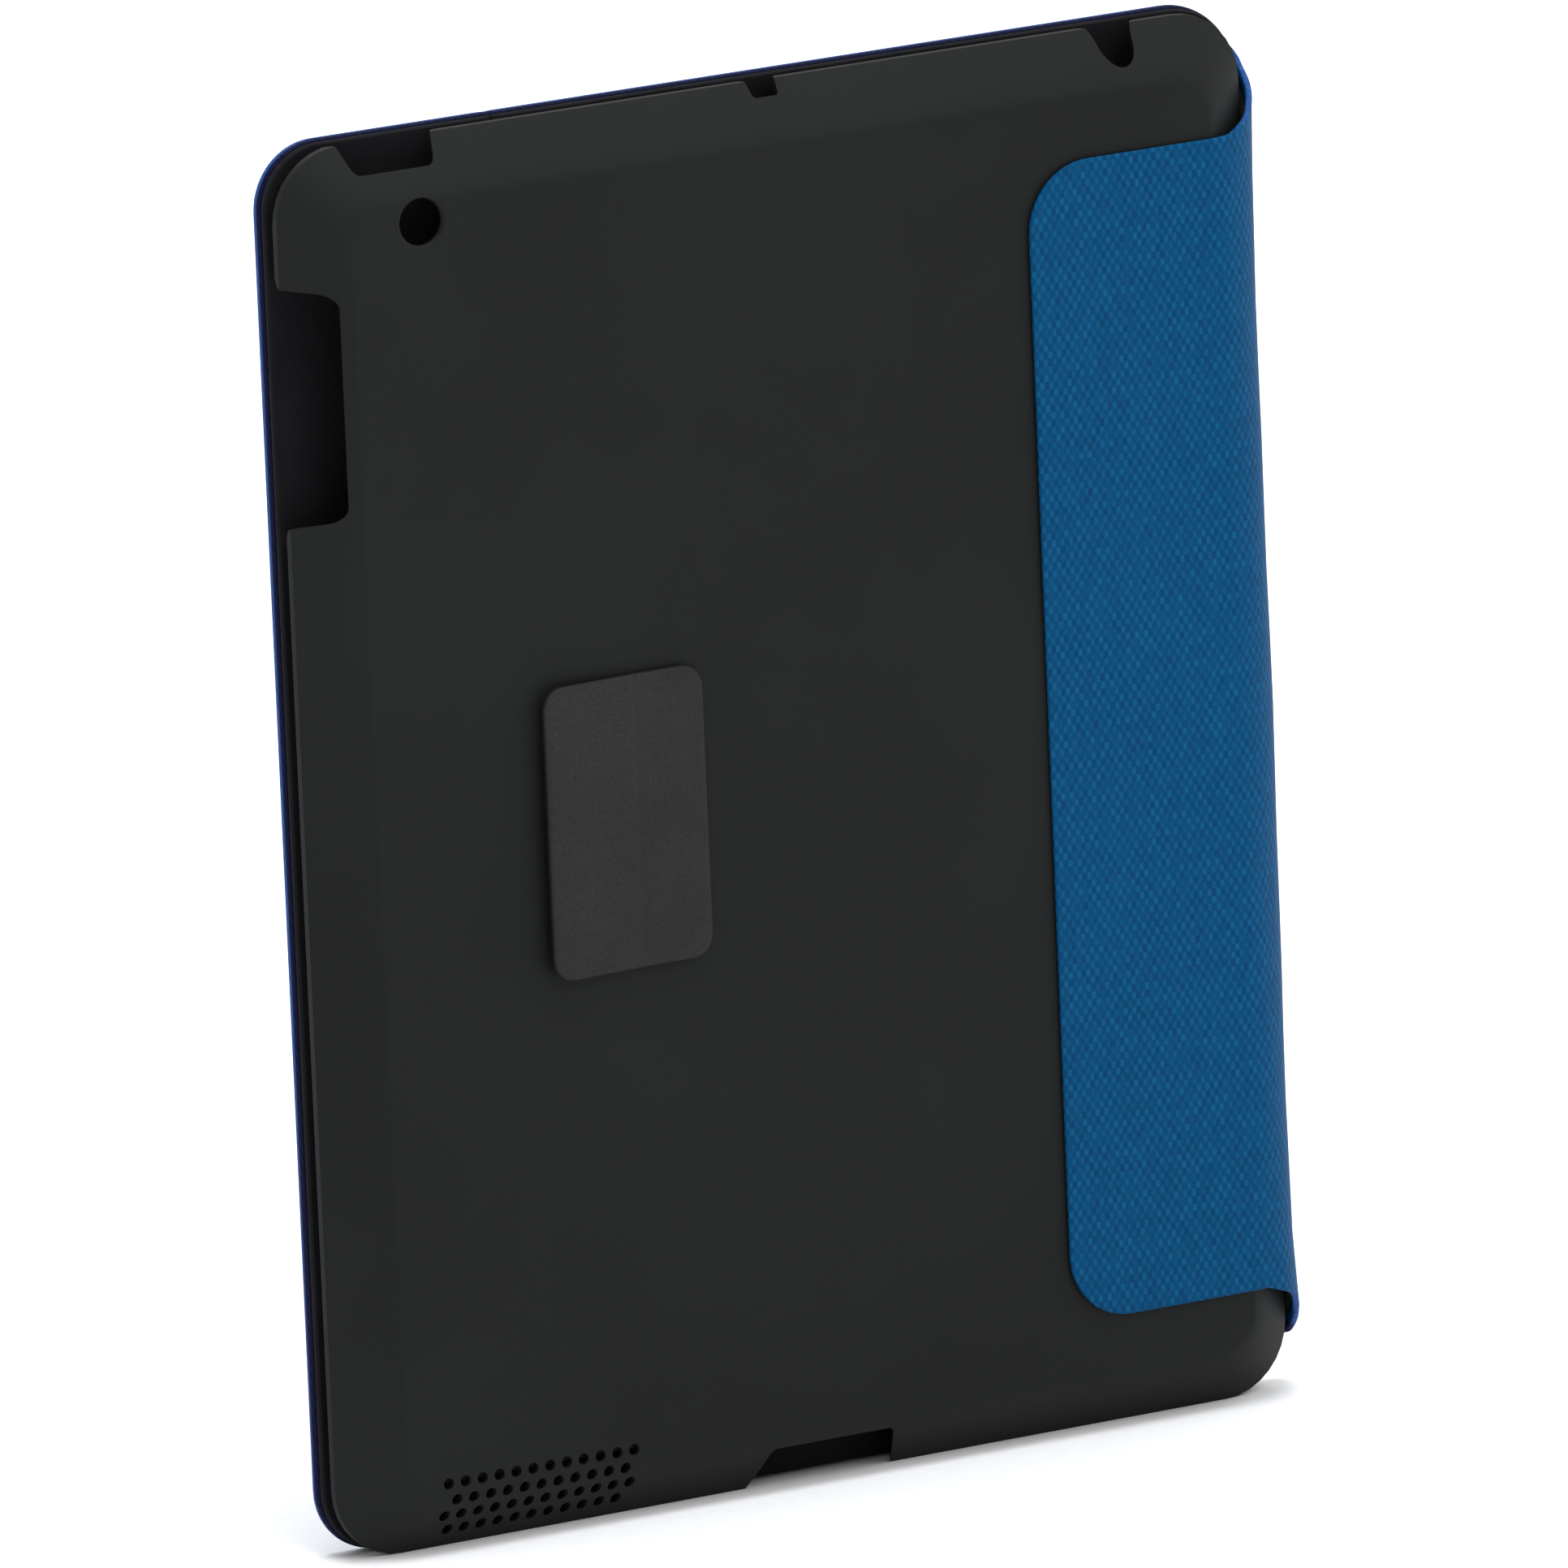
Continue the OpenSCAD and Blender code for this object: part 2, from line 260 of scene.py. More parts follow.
# The strip's ends in z, and the curves from them, over u, to the flared ends of the spine
STRIP_Z = (20.55, 223.65)
END_TOP = ((-60, 3, 4.3, 11.4, 15, 20.1, 22.2, 24.6),
           (STRIP_Z[1], STRIP_Z[1], 223.7, 226, 229, 232.7, 235.9, 238.5))
END_LOW = ((-60, 3, 10, 15, 16, 20.1, 23.5, 24.6),
           (STRIP_Z[0], STRIP_Z[0], 18, 13.5, 12.2, 8.5, 7.6, 6.2))
STRIP_R, COVER_R, SPINE_CORNER_R = 12.0, 11.5, 14.0
SPINE_CORNER_X = MID_X - 83.2


def end_curve(table, u_values):
    """The table as a smooth curve."""
    fine = np.arange(-40, 30, 0.1)
    raw = np.interp(fine, *table)
    kernel = np.exp(-np.linspace(-2.5, 2.5, 25) ** 2 / 2)
    raw = np.convolve(np.pad(raw, 12, mode="edge"), kernel / kernel.sum(), mode="valid")
    return np.interp(u_values, fine, raw)


def cover_outline():
    """Outline of the whole canvas, anticlockwise from the strip's lower corner."""
    strip_u = U_FREE_STRIP + STRIP_R
    corner_u = U_FRONT_END + SPINE_CORNER_X - FRONT_C[0]
    r = SPINE_CORNER_R
    low_end, high_end = (end_curve(table, [U_FRONT_END])[0] for table in (END_LOW, END_TOP))
    us = np.arange(strip_u + 1, U_FRONT_END + 0.01, 0.4)

    points = arc(strip_u, STRIP_Z[0] + STRIP_R, STRIP_R, 180, 270)
    points += list(zip(us, end_curve(END_LOW, us)))
    start = math.degrees(math.asin((low_end - r) / r))
    points += arc(corner_u, r, r, 180 - start, 270)
    points += arc(U_FREE - COVER_R, COVER_R, COVER_R, 270, 360)
    points += arc(U_FREE - COVER_R, TOP_Z - COVER_R, COVER_R, 0, 90)
    start = math.degrees(math.asin((high_end - (TOP_Z - r)) / r))
    points += arc(corner_u, TOP_Z - r, r, 90, 180 - start)
    points += list(zip(us[::-1], end_curve(END_TOP, us[::-1])))
    points += arc(strip_u, STRIP_Z[1] - STRIP_R, STRIP_R, 90, 180)
    return points


def cloth_place(p):
    """Flat places (u, v, w) rolled round the spine: flared ends, a ripple and the fold line."""
    u, v, w = p[:, 0], p[:, 1], p[:, 2]
    on_roll = smooth(u, 2.5, 7) * (1 - smooth(u, 20.9, 24.2))
    flare = 0.6 * smooth(v, 222.5, 231) + 1.0 * (1 - smooth(v, 8, 30))
    ripple = 0.13 * np.sin(v / 19.0 + u / 9.0) + 0.07 * np.sin(v / 7.3 - u / 5.0)
    w = w + on_roll * flare
    w = w + on_roll * ripple
    w = w - 0.32 * np.exp(-((u - U_CREASE) / 0.9) ** 2) * (w > -1)

    back_turn = np.clip(u, 0, U_BACK_END) / BACK_R
    front_turn = np.clip(u - U_FRONT_START, 0, FRONT_R * math.pi / 2) / FRONT_R
    x = BACK_C[0] - BACK_R * np.sin(back_turn) - np.minimum(u, 0)
    y = (BACK_C[1] + BACK_R * np.cos(back_turn)
         - np.clip(u - U_BACK_END, 0, U_FRONT_START - U_BACK_END))
    x = x + FRONT_R * (1 - np.cos(front_turn)) + np.maximum(u - U_FRONT_END, 0)
    y = y - FRONT_R * np.sin(front_turn)
    turn = back_turn + front_turn
    return np.column_stack([x - np.sin(turn) * w, y + np.cos(turn) * w, v])


# Rim profiles as (outset, w): the strip's cut edge, the spine's hem and the cover's tray
STRIP_ROWS = [(0.8, -0.01), (1.02, -0.08), (1.14, -0.22), (1.2, -0.4), (1.14, -0.58),
              (1.02, -0.7), (0.8, -0.78), (0.4, -0.8), (0.2, -0.8), (0.0, -0.8)]
HEM_ROWS = [(0.7, 0.0), (1.0, -0.08), (1.15, -0.28), (1.2, -0.6), (1.15, -0.92),
            (1.0, -1.12), (0.7, -1.2), (-0.9, -1.2), (-1.1, -1.05), (-1.1, -0.8)]
TRAY_ROWS = [(0.6, -0.02), (0.93, -0.16), (1.12, -0.42), (1.2, -0.85), (1.18, -1.45),
             (1.04, -1.98), (0.75, -2.2), (0.3, -2.2), (0.2, -2.1), (0.2, -0.8)]


def mix_rows(rows_a, rows_b, t):
    """A rim profile a share t of the way from one to another."""
    return [tuple(p * (1 - t) + q * t for p, q in zip(a, b)) for a, b in zip(rows_a, rows_b)]


def canvas_rows(u):
    """The canvas's rim: cut edge on the strip, hem on the spine, tray round the cover."""
    if u < U_SEAM:
        return mix_rows(STRIP_ROWS, HEM_ROWS, float(smooth(u, -1, 4)))
    to_tray = float(smooth(u, U_FRONT_START + 0.6, U_FRONT_END + 1.2))
    return mix_rows(HEM_ROWS, TRAY_ROWS, to_tray)


def flat_front(u):
    return 0.0


def canvas_back(u):
    return -CANVAS_T


# Where the flat sheets are cut: close together on the rolls and at the fold, wide elsewhere
STRIP_CUTS = [-34, -31, -26, -18, -8, -3]
COVER_CUTS = [26, 28, 32, 40, 60, 80, 100, 120, 140, 155]
EDGE_CUTS = [U_EDGE_SEAM, U_EDGE_SEAM + 1.6, 174, 182, 192, 202, 208, 212]
U_CUTS = even_cuts(0, U_BACK_END, 1.15) + STRIP_CUTS + [U_SEAM] + COVER_CUTS + EDGE_CUTS
U_CUTS += even_cuts(U_FRONT_START, U_FRONT_END, 0.32)
U_CUTS += even_cuts(U_CREASE - 2.1, U_CREASE + 2.1, 0.3)
V_CUTS = [float(z) for z in np.linspace(28, 216, 17)]

# ---------------------------------------------------------------- materials


class Graph:
    """A node material in few words."""

    def __init__(self, name):
        self.material = bpy.data.materials.new(name)
        self.material.use_nodes = True
        self.tree = self.material.node_tree
        self.tree.nodes.clear()
        out = self.tree.nodes.new("ShaderNodeOutputMaterial")
        self.bsdf = self.add("BsdfPrincipled")
        self.tree.links.new(self.bsdf.outputs[0], out.inputs[0])

    def add(self, kind, inputs=None, **settings):
        node = self.tree.nodes.new("ShaderNode" + kind)
        for key, value in settings.items():
            setattr(node, key, value)
        for key, value in (inputs or {}).items():
            self.put(node.inputs[key], value)
        return node

    def put(self, socket, value):
        if isinstance(value, bpy.types.NodeSocket):
            self.tree.links.new(value, socket)
        else:
            socket.default_value = value

    def math(self, operation, *values):
        node = self.add("Math", operation=operation)
        for socket, value in zip(node.inputs, values):
            self.put(socket, value)
        return node.outputs[0]

    def mix(self, factor, a, b):
        return self.add("Mix", {0: factor, 6: a, 7: b}, data_type="RGBA").outputs[2]

    def ramp(self, value, low, high, to_low=0.0, to_high=1.0):
        """value eased from to_low, at low, to to_high, at high."""
        inputs = {"Value": value, "From Min": low, "From Max": high,
                  "To Min": to_low, "To Max": to_high}
        return self.add("MapRange", inputs, interpolation_type="SMOOTHSTEP").outputs[0]

    def noise(self, scale, detail, rough, vector):
        inputs = {"Scale": scale, "Detail": detail, "Roughness": rough, "Vector": vector}
        return self.add("TexNoise", inputs).outputs[0]

    def place(self):
        return self.add("TexCoord").outputs["Object"]

    def attribute(self, name, output):
        return self.add("Attribute", attribute_name=name, attribute_type="GEOMETRY").outputs[output]

    def bump(self, height, distance, strength):
        inputs = {"Height": height, "Distance": distance, "Strength": strength}
        return self.add("Bump", inputs).outputs[0]

    def shade(self, **sockets):
        for key, value in sockets.items():
            self.put(self.bsdf.inputs[key.replace("_", " ")], value)


def srgb(r, g, b):
    """A colour given from 0 to 255, as linear values."""
    def linear(c):
        c /= 255.0
        return c / 12.92 if c <= 0.04045 else ((c + 0.055) / 1.055) ** 2.4
    return (linear(r), linear(g), linear(b), 1.0)


WEAVE_U, WEAVE_V = 0.00088, 0.00131     # the weave's cell, in metres like all that shaders read


def canvas_material():
    """Blue coated canvas: woven cells of uneven colour, a painted highlight on the hems, painted
    shade inside the foot.
    """
    g = Graph("coated_canvas")
    cloth = g.attribute("cloth", "Vector")
    split = g.add("SeparateXYZ", {0: cloth})
    u, v, w = split.outputs[0], split.outputs[1], split.outputs[2]

    sway = g.noise(60.0, 2.0, 0.5, cloth)
    sway = g.math("MULTIPLY", g.math("SUBTRACT", sway, 0.5), 1.1)
    cu = g.math("ADD", g.math("DIVIDE", u, WEAVE_U), sway)
    cv = g.math("ADD", g.math("DIVIDE", v, WEAVE_V), g.math("MULTIPLY", sway, -0.7))
    wave = g.math("MULTIPLY", g.math("SINE", g.math("MULTIPLY", cu, math.pi)),
                  g.math("SINE", g.math("MULTIPLY", cv, math.pi)))
    raised = g.ramp(wave, -0.3, 0.6)
    cell = g.add("CombineXYZ", {0: g.math("FLOOR", cu), 1: g.math("FLOOR", cv)}).outputs[0]
    chance = g.add("TexWhiteNoise", {"Vector": cell}, noise_dimensions="3D").outputs[0]
    slit = g.math("ABSOLUTE", g.math("SUBTRACT", g.math("FRACT", cu), 0.5))
    slit = g.ramp(slit, 0.0, 0.16, 0.84, 1.0)

    light = g.mix(chance, srgb(0, 71, 110), srgb(6, 83, 125))
    dark = g.mix(chance, srgb(0, 57, 97), srgb(0, 65, 106))
    wear = g.ramp(g.noise(26.0, 3.0, 0.6, cloth), 0.35, 0.75)
    colour = g.mix(g.math("MULTIPLY", raised, slit), dark, light)
    colour = g.mix(g.math("MULTIPLY", wear, 0.1), colour, srgb(14, 78, 124))

    # painted highlight: the hem's fold from the spine onwards is painted paler, a violet line
    # standing in for light on the fold
    on_spine = g.ramp(u, 0.004, 0.012)
    edge = g.math("MULTIPLY", g.ramp(g.attribute("rim", "Fac"), 0.7, 1.0), on_spine)
    colour = g.mix(g.math("MULTIPLY", edge, 0.5), colour, srgb(62, 84, 160))

    # painted shade: from the front roll onwards the deeper side of the hem is painted nearly black
    # as if in shadow, from a bit earlier near the foot
    foot = g.ramp(v, 0.05, 0.1, 1.0, 0.0)
    depth = g.math("SUBTRACT", w, g.ramp(u, 0.026, 0.045, 0.0006, 0.0))
    depth = g.math("SUBTRACT", depth, g.math("MULTIPLY", foot, 0.0003))
    reach = g.math("ADD", u, g.math("MULTIPLY", foot, 0.0033))
    painted_shade = g.math("MULTIPLY", g.ramp(reach, 0.0198, 0.0214), g.ramp(depth, -0.0011, -0.0017))
    colour = g.mix(painted_shade, colour, srgb(12, 16, 44))

    thread = g.noise(5200.0, 2.0, 0.6, cloth)
    height = g.math("ADD", raised, g.math("MULTIPLY", thread, 0.22))
    g.shade(Base_Color=colour, Roughness=g.ramp(thread, 0.2, 0.8, 0.5, 0.68),
            Normal=g.bump(height, 0.00012, 0.7), Specular_IOR_Level=0.06)
    return g.material


def lining_material():
    """Black microfibre: fine fibres and a faint cloud."""
    g = Graph("microfibre")
    where = g.place()
    fibre = g.noise(4200.0, 3.0, 0.7, where)
    cloud = g.noise(42.0, 3.0, 0.6, where)
    colour = g.mix(g.ramp(cloud, 0.3, 0.7), srgb(14, 14, 16), srgb(20, 20, 22))
    colour = g.mix(g.ramp(fibre, 0.3, 0.8, 0.0, 0.5), colour, srgb(36, 36, 40))
    g.shade(Base_Color=colour, Roughness=0.88, Normal=g.bump(fibre, 0.00012, 0.8),
            Specular_IOR_Level=0.06, Sheen_Weight=0.05, Sheen_Roughness=0.4)
    return g.material


def shell_material():
    """Black soft-touch plastic: very fine grain, slightly uneven colour and gloss."""
    g = Graph("soft_touch_plastic")
    where = g.place()
    grain = g.noise(5600.0, 2.0, 0.6, where)
    cloud = g.noise(16.0, 4.0, 0.55, where)
    colour = g.mix(g.ramp(cloud, 0.3, 0.72), srgb(24, 25, 25), srgb(29, 30, 30))
    g.shade(Base_Color=colour, Roughness=g.ramp(cloud, 0.3, 0.75, 0.56, 0.66),
            Normal=g.bump(grain, 0.00003, 0.5), Specular_IOR_Level=0.1)
    return g.material


def leather_material():
    """Dark leather: pebbles with darker creases, and darker cut edges."""
    g = Graph("tab_leather")
    where = g.place()
    pebble = g.add("TexVoronoi", {"Vector": where, "Scale": 1500.0}, feature="DISTANCE_TO_EDGE")
    pebble = g.ramp(pebble.outputs[0], 0.0, 0.28)
    fine = g.noise(2600.0, 3.0, 0.65, where)
    cloud = g.noise(60.0, 3.0, 0.5, where)
    colour = g.mix(g.ramp(cloud, 0.3, 0.7), srgb(37, 36, 36), srgb(43, 42, 41))
    crease = g.math("MULTIPLY", g.math("SUBTRACT", 1.0, pebble), 0.6)
    colour = g.mix(crease, colour, srgb(26, 26, 26))
    edge = g.math("MULTIPLY", g.ramp(g.attribute("rim", "Fac"), 0.6, 1.0), 0.4)
    colour = g.mix(edge, colour, srgb(22, 22, 23))
    height = g.math("ADD", pebble, g.math("MULTIPLY", fine, 0.5))
    g.shade(Base_Color=colour, Roughness=g.ramp(fine, 0.2, 0.8, 0.5, 0.64),
            Normal=g.bump(height, 0.00007, 0.6), Specular_IOR_Level=0.16)
    return g.material


def plain_material(name, low, high, scale, roughness, metallic=0.0):
    """A speckled material between two colours."""
    g = Graph(name)
    speckle = g.noise(scale, 3.0, 0.6, g.place())
    g.shade(Base_Color=g.mix(g.ramp(speckle, 0.3, 0.7), low, high), Roughness=roughness,
            Metallic=metallic, Normal=g.bump(speckle, 0.00005, 0.5))
    return g.material


CANVAS = canvas_material()
LINING = lining_material()
PLASTIC = shell_material()
LEATHER = leather_material()
BOARD = plain_material("grey_board", srgb(104, 98, 90), srgb(124, 117, 108), 900.0, 0.9)
FILM = plain_material("bonding_film", srgb(24, 24, 26), srgb(34, 34, 36), 700.0, 0.5)
STEEL = plain_material("magnet_steel", srgb(150, 150, 152), srgb(176, 176, 178), 400.0, 0.35, 1.0)

# ---------------------------------------------------------------- the shell

# The opening for the tablet's camera: x and z of its middle, its radius and its rounded mouth
CAMERA_HOLE = (MID_X + 70.4, 230.6)
CAMERA_R, CAMERA_EASE = 4.03, 0.8
TURNS = 64      # sides of the cutter


def ease_hole(obj, centre, radius, ease):
    """Cuts a bell mouth round a hole in the shell's back."""
    quarter = np.linspace(0, math.pi / 2, 8)
    profile = [(BACK_Y - ease + ease * math.sin(t), radius + ease * (1 - math.cos(t)))
               for t in quarter]
    # past both faces of the shell, so that nothing coincides
    profile = [(BACK_Y - 3, radius)] + profile + [(BACK_Y + 1, radius + ease)]
    angles = np.linspace(0, 2 * math.pi, TURNS, endpoint=False)
    points = [(centre[0] + r * math.cos(a), y, centre[1] + r * math.sin(a))
              for y, r in profile for a in angles]
    faces = []
    for ring in range(0, TURNS * (len(profile) - 1), TURNS):
        for i in range(TURNS):
            j = (i + 1) % TURNS
            faces.append([ring + i, ring + j, ring + TURNS + j, ring + TURNS + i])
    last = TURNS * (len(profile) - 1)
    faces += [list(range(TURNS)), list(range(last, last + TURNS))]
    cutter = make_object("bell", points, faces, obj.data.materials[0])
    cut = obj.modifiers.new("bell_mouth", "BOOLEAN")
    cut.operation, cut.solver, cut.object = "DIFFERENCE", "EXACT", cutter
    graph = bpy.context.evaluated_depsgraph_get()
    mesh = bpy.data.meshes.new_from_object(obj.evaluated_get(graph))
    obj.modifiers.remove(cut)
    obj.data = mesh
    bpy.data.objects.remove(cutter)


def from_frame(name, cad, material, sharp, edge, hole=None):
    """A new piece with a CAD node's shape, its faceted curves shaded smooth and its edges worn."""
    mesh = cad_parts[cad].data.copy()
    mesh.name = name
    obj = bpy.data.objects.new(name, mesh)
    bpy.context.scene.collection.objects.link(obj)
    bm = bmesh.new()
    bm.from_mesh(mesh)
    bmesh.ops.remove_doubles(bm, verts=bm.verts, dist=2e-6)
    bmesh.ops.dissolve_limit(bm, angle_limit=math.radians(0.3), verts=bm.verts, edges=bm.edges)
    bmesh.ops.recalc_face_normals(bm, faces=bm.faces)
    bm.to_mesh(mesh)
    bm.free()
    mesh.materials.clear()
    mesh.materials.append(material)
    mesh.polygons.foreach_set("material_index", [0] * len(mesh.polygons))
    if hole:
        ease_hole(obj, *hole)
        mesh = obj.data
    mesh.polygons.foreach_set("use_smooth", [True] * len(mesh.polygons))
    mesh.set_sharp_from_angle(angle=math.radians(sharp))
    bevel = obj.modifiers.new("worn_edge", "BEVEL")
    bevel.width, bevel.segments, bevel.limit_method = edge * MM, 3, "ANGLE"
    bevel.angle_limit = math.radians(sharp)
    bevel.use_clamp_overlap = True
    flat = obj.modifiers.new("flat_faces", "WEIGHTED_NORMAL")
    flat.keep_sharp, flat.weight = False, 90
    return obj


shell = from_frame("shell_moulding", "shell", PLASTIC, sharp=32, edge=0.14,
                   hole=(CAMERA_HOLE, CAMERA_R, CAMERA_EASE))
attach(shell, "shell")
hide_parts("shell")

bay = from_frame("bay_lining", "shell_lining", LINING, sharp=40, edge=0.08)
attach(bay, "shell")
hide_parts("shell_lining")

# ---------------------------------------------------------------- the canvas's three pieces

cover_cells = Cells(cover_outline(), U_CUTS, V_CUTS)


def canvas_piece(name, low, high):
    return sheet_object(name, cover_cells, (low, high), canvas_rows, flat_front, canvas_back,
                        cloth_place, CANVAS)


canvas_strip = canvas_piece("canvas_strip", -math.inf, U_SEAM)
canvas_cover = canvas_piece("canvas_cover", U_SEAM, U_EDGE_SEAM)
canvas_edge = canvas_piece("canvas_edge", U_EDGE_SEAM, math.inf)

# ---------------------------------------------------------------- the linings of the cloth

LINING_T = 0.4
LINING_START = 5.0      # the spine's lining begins just inside the back roll
FOLD_GAP = 0.14         # half of the gap between the two linings at the fold
SOFT_ROWS = [(0.6, -0.02), (0.95, -0.12), (1.12, -0.3), (1.2, -0.6), (1.2, -1.0), (1.12, -1.3),
             (0.9, -1.55), (0.5, -1.6), (0.0, -1.6)]
SOFT_DEPTH = 1.6


def lining_outline():
    """The canvas's outline, drawn in by the hem round the spine and by the gap round the cover."""
    ring = resample(cover_outline(), RING_STEP)
    draw_in = 2.3 - 1.9 * smooth(ring[:, 0], U_FRONT_START, U_FRONT_END + 4)
    return [tuple(p) for p in ring - outward(ring) * draw_in[:, None]]


def lining_rise(u):
    """0 on the spine, and 1 from where the lining has climbed onto the cover's board."""
    return float(smooth(u, U_FRONT_END + 0.6, U_FRONT_END + 2.8))


def lining_front(u):
    """The lining's hidden face: on the canvas along the spine, on the board in the cover."""
    return -CANVAS_T - (BOARD_W - CANVAS_T) * lining_rise(u)


def lining_back(u):
    """The lining's own face."""
    groove = 0.35 * math.exp(-((u - U_CREASE) / 1.1) ** 2)
    return -(CANVAS_T + LINING_T) - (PAD_W - CANVAS_T - LINING_T - groove) * lining_rise(u)


def lining_rows(u):
    depth = lining_front(u) - lining_back(u)
    return [(outset, w * depth / SOFT_DEPTH) for outset, w in SOFT_ROWS]


RISE_CUTS = [25.4, 25.9, 26.4, 27.1, 27.6]      # where the lining climbs onto the board
FOLD_CUTS = [U_CREASE - FOLD_GAP, U_CREASE + FOLD_GAP]
lining_cells = Cells(lining_outline(), U_CUTS + [LINING_START] + RISE_CUTS + FOLD_CUTS, V_CUTS)


def lining_piece(name, low, high):
    return sheet_object(name, lining_cells, (low, high), lining_rows, lining_front, lining_back,
                        cloth_place, LINING)


lining_spine = lining_piece("lining_spine", LINING_START, U_SEAM)
lining_cover = lining_piece("lining_cover", U_SEAM, FOLD_CUTS[0])
lining_edge = lining_piece("lining_edge", FOLD_CUTS[1], math.inf)

# ---------------------------------------------------------------- the cloth's pieces set in place, and the edge's lining hung on the edge


def at(x, y, z=122.0):
    """A point in metres."""
    return (x * MM, y * MM, z * MM)


def along(start, end, share):
    """The point that lies a share of the way from start to end."""
    return at(*[a + (b - a) * share for a, b in zip(start, end)])


BACK_BAND = ((BACK_C[0], STRIP_Y), (SPINE_X, BACK_C[1]))
FRONT_BAND = ((SPINE_X, FRONT_C[1]), (FRONT_C[0], FRONT_Y))
for piece in (canvas_strip, lining_spine):
    along(*BACK_BAND, 0.05)
    along(*BACK_BAND, 0.95)
    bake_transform(piece)
for piece in (canvas_cover, lining_cover):
    along(*FRONT_BAND, 0.25)
    along(*FRONT_BAND, 0.75)
    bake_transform(piece)
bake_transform(canvas_edge)
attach(lining_edge, "edge")
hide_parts("strip_canvas", "spine_canvas")
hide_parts("cover_canvas")
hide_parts("edge_canvas")
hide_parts("strip_liner", "spine_liner")
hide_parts("cover_pad", "cover_liner")
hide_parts("edge_pad")

# ---------------------------------------------------------------- the stand tab

BASE_LOW, BASE_HIGH = box_mm("tab_base")
HINGE_X, TAB_Y = BASE_HIGH[0], BASE_HIGH[1]
BASE_W = HINGE_X - BASE_LOW[0]
FLAP_W, TAB_T, SKIN_T, TAB_R = 18.2, 1.5, 0.5, 4.0
LIFT = math.radians(3.5)    # the free flap stands off the shell a little
TAB_ROWS = [(0.7, -0.03), (0.98, -0.13), (1.13, -0.32), (1.2, -0.6), (1.2, -0.95), (1.14, -1.25),
            (1.0, -1.42), (0.7, -1.5), (0.0, -1.5)]
SKIN_ROWS = [(0.85, -0.04), (1.05, -0.15), (1.05, -0.35), (0.85, -0.46), (0.0, -SKIN_T)]


def rounded(w, z0, z1, r):
    """A rectangle with round corners, anticlockwise from its lower corner at u = 0."""
    return (arc(r, z0 + r, r, 180, 270) + arc(w - r, z0 + r, r, 270, 360)
            + arc(w - r, z1 - r, r, 0, 90) + arc(r, z1 - r, r, 90, 180))


def tab_place(p):
    """Flat places (u, v, w) with the flap lifted and a shallow groove along its hinge."""
    u, v, w = p[:, 0], p[:, 1], p[:, 2]
    w = w - 0.05 * np.exp(-((u - BASE_W) / 0.8) ** 2) * (w > -0.5)
    turn = LIFT * smooth(u, BASE_W - 0.6, BASE_W + 0.6)
    x = BASE_LOW[0] + np.minimum(u, BASE_W) + np.maximum(u - BASE_W, 0) * math.cos(LIFT)
    y = TAB_Y + np.maximum(u - BASE_W, 0) * math.sin(LIFT)
    return np.column_stack([x - np.sin(turn) * w, y + np.cos(turn) * w, v])


def tab_back(u):
    """The tab's own back: thinner on the flap, where the backing lies under it."""
    return -TAB_T + SKIN_T * float(smooth(u, BASE_W - 0.2, BASE_W + 0.3))


def tab_rows(u):
    return [(outset, w * -tab_back(u) / TAB_T) for outset, w in TAB_ROWS]


def skin_front(u):
    return -TAB_T + SKIN_T


def skin_back(u):
    return -TAB_T


def skin_rows(u):
    return SKIN_ROWS


TAB_U_CUTS = [3, 7, 11] + even_cuts(BASE_W - 1.6, BASE_W + 1.6, 0.25) + [18, 22, 26, 29]
TAB_Z_CUTS = [102, 108, 115, 122, 129, 136, 142]
SKIN_START = BASE_W + 0.4
tab_cells = Cells(rounded(BASE_W + FLAP_W, BASE_LOW[2], BASE_HIGH[2], TAB_R), TAB_U_CUTS,
                  TAB_Z_CUTS, step=0.5)
stand_tab = sheet_object("stand_tab", tab_cells, (-math.inf, math.inf), tab_rows, flat_front,
                         tab_back, tab_place, LEATHER)
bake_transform(stand_tab)
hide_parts("tab_base", "tab_flap")
tab_backing = sheet_object("tab_backing", tab_cells, (SKIN_START, math.inf), skin_rows,
                           skin_front, skin_back, tab_place, LINING)
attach(tab_backing, "flap")
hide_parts("tab_flap_skin")

# ---------------------------------------------------------------- pieces kept from the frame

for material, names in ((BOARD, ("cover_board", "edge_board")), (FILM, ("strip_film", "tab_film")),
                        (STEEL, ("closure_magnets", "wake_magnet"))):
    for name in names:
        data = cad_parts[name].data
        data.materials.clear()
        data.materials.append(material)

# ---------------------------------------------------------------- camera, light and floor


def towards(azimuth, elevation):
    """The direction of a camera or light from the case. Both angles are in radians."""
    return Vector((math.sin(azimuth) * math.cos(elevation),
                   -math.cos(azimuth) * math.cos(elevation), math.sin(elevation)))


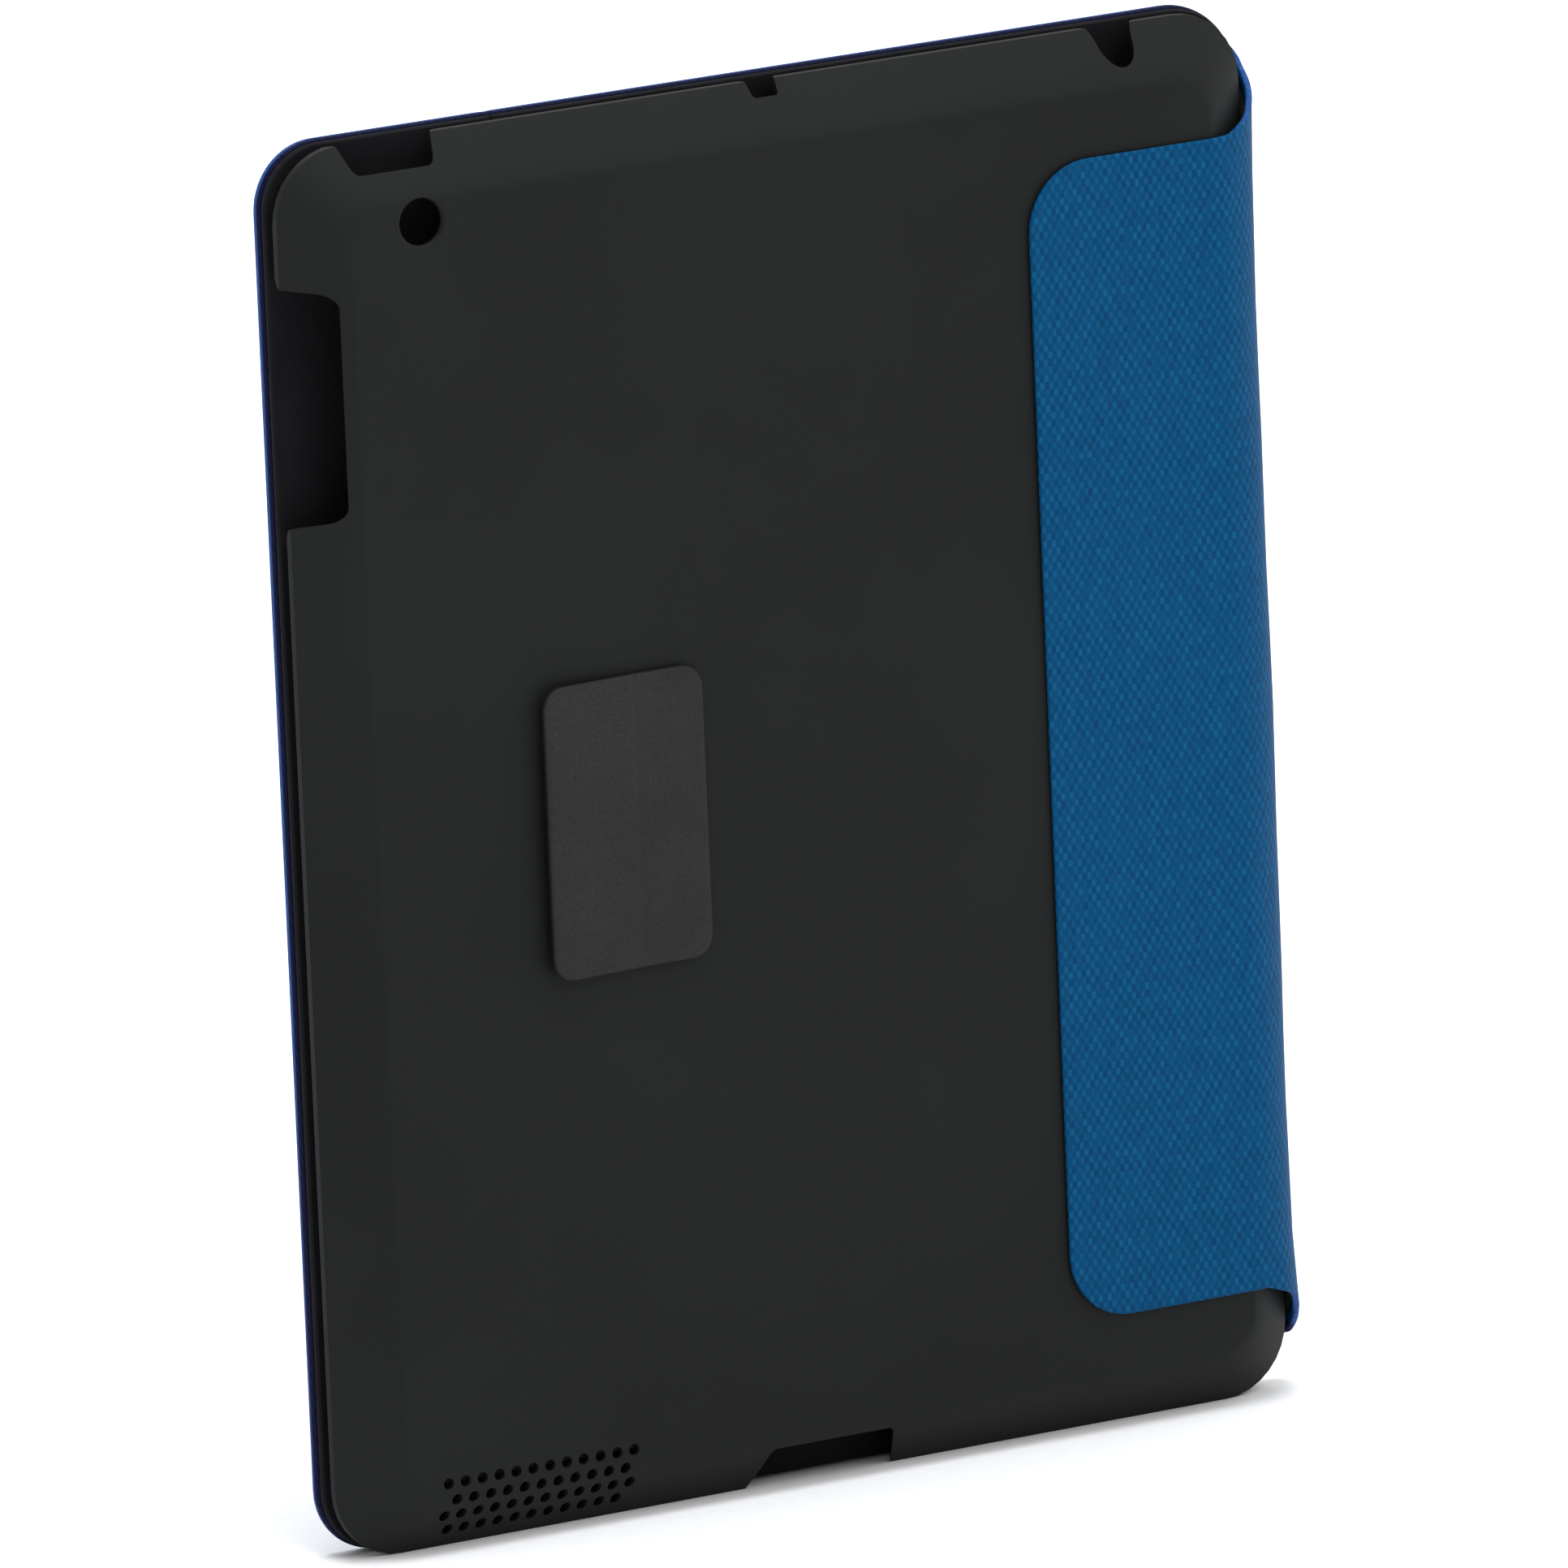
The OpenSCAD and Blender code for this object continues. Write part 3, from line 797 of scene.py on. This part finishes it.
AZIMUTH, ELEVATION, ROLL = (math.radians(a) for a in (150.289, 13.019, -2.415))
DISTANCE, TARGET = 4.4173, Vector((3.615, 1.346, 122.56)) * MM
SENSOR = 36.0
FOCAL_LENGTH, IMAGE_SIDE = 31970.6, 1932.0     # both in the picture's pixels
away = towards(AZIMUTH, ELEVATION)
right = (-away).cross(Vector((0, 0, 1))).normalized()
up = right.cross(-away)
turned_right = right * math.cos(ROLL) + up * math.sin(ROLL)
turned_up = -right * math.sin(ROLL) + up * math.cos(ROLL)
camera_data = bpy.data.cameras.new("camera")
camera_data.sensor_width = SENSOR
camera_data.lens = SENSOR * FOCAL_LENGTH / IMAGE_SIDE
camera_data.clip_start, camera_data.clip_end = 0.1, 500.0
camera = bpy.data.objects.new("camera", camera_data)
matrix = Matrix((turned_right, turned_up, away)).transposed().to_4x4()
matrix.translation = TARGET + away * DISTANCE
camera.matrix_world = matrix
bpy.context.scene.collection.objects.link(camera)
bpy.context.scene.camera = camera


def floor_material():
    """White paper, very slightly uneven."""
    g = Graph("pale_floor")
    paper = g.noise(300.0, 3.0, 0.6, g.place())
    colour = g.mix(g.ramp(paper, 0.3, 0.7), srgb(244, 244, 245), srgb(247, 247, 248))
    g.shade(Base_Color=colour, Roughness=0.9, Normal=g.bump(paper, 0.00002, 0.3),
            Specular_IOR_Level=0.1)
    return g.material


FLOOR_R, FLOOR_SIDES = 80.0 / MM, 64
floor_angles = np.linspace(0, 2 * math.pi, FLOOR_SIDES, endpoint=False)
floor_ring = FLOOR_R * np.column_stack(
    [np.cos(floor_angles), np.sin(floor_angles), np.zeros(FLOOR_SIDES)])
floor = make_object("floor", floor_ring, [list(range(FLOOR_SIDES))], floor_material())


def sun(name, strength, angle, direction, colour=(1.0, 1.0, 1.0)):
    """A sun that shines from a direction, as soft as its angle in degrees."""
    data = bpy.data.lights.new(name, "SUN")
    data.energy, data.angle, data.color = strength, math.radians(angle), colour
    obj = bpy.data.objects.new(name, data)
    obj.rotation_euler = Vector(direction).to_track_quat("Z", "Y").to_euler()
    bpy.context.scene.collection.objects.link(obj)


sun("overhead", 2.3, 35, (0.0, 0.05, 1.0), (0.94, 0.97, 1.0))
sun("key", 0.72, 30, towards(math.radians(190), math.radians(50)))
sun("fill", 0.55, 40, towards(math.radians(245), math.radians(35)))
sun("front", 0.6, 40, towards(math.radians(-20), math.radians(40)))
world = bpy.data.worlds.new("studio")
bpy.context.scene.world = world
world.use_nodes = True
backdrop = world.node_tree.nodes["Background"]
backdrop.inputs[0].default_value = (1.0, 1.0, 1.0, 1.0)
backdrop.inputs[1].default_value = 0.55
bpy.context.scene.view_settings.view_transform = "Standard"
